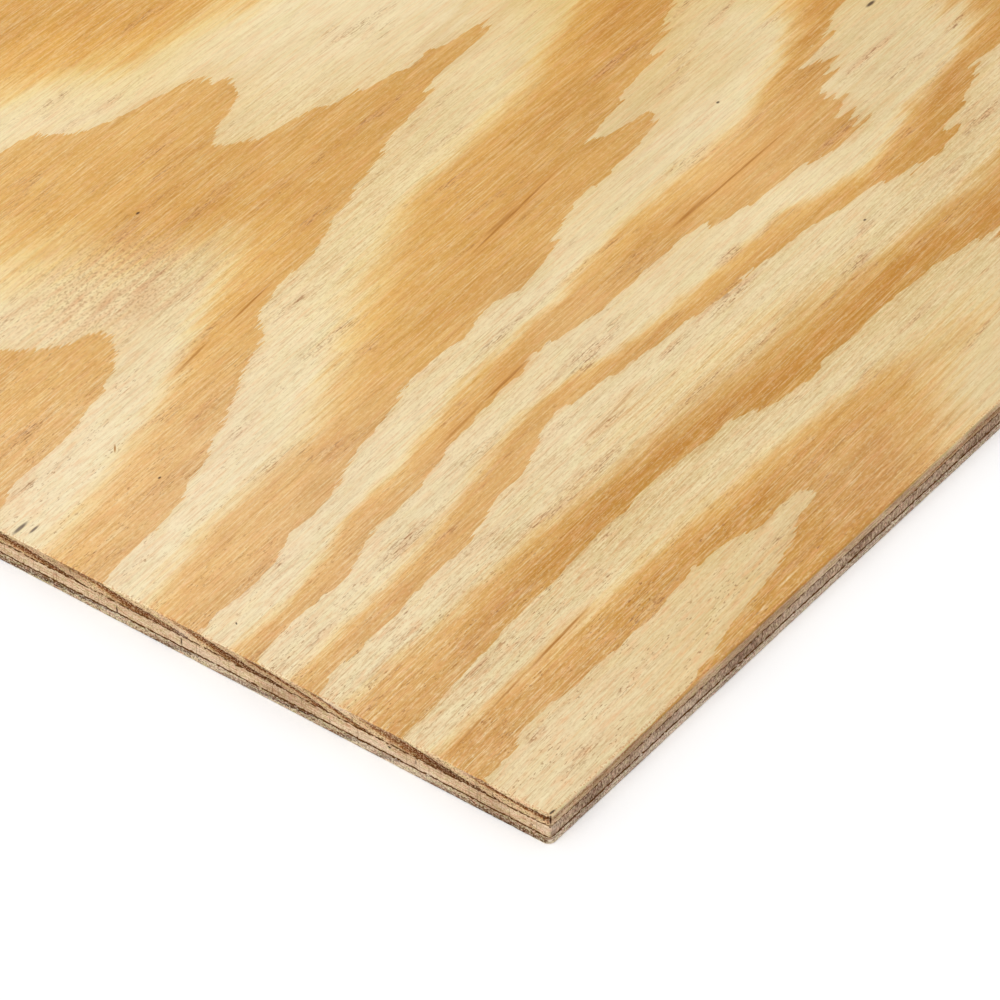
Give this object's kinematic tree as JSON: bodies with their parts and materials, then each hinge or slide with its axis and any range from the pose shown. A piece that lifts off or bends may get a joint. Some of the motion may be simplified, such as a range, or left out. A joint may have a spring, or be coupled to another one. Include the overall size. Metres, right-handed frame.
{
  "type": "plywood sheet",
  "caption": "Flat rectangular sheet of plywood lying face up: crossed softwood veneers with sanded arrises and fine glue lines along the sawn edges.",
  "frame": {"origin": "centre of the underside", "axes": "+X along the length and the face grain, +Y across the width and along the core's grain, +Z out of the face"},
  "size_m": [2.4384, 1.2192, 0.0087],
  "materials": {
    "face_pine": "sanded, with tan and cream growth rings along the length",
    "core_pine": "sawn edge, grain across the sheet",
    "back_pine": "rough cut, duller than the face, grain along the length"
  },
  "bodies": {
    "root": {"face_veneer": "face_pine", "core_veneer": "core_pine", "back_veneer": "back_pine"}
  },
  "joints": []
}
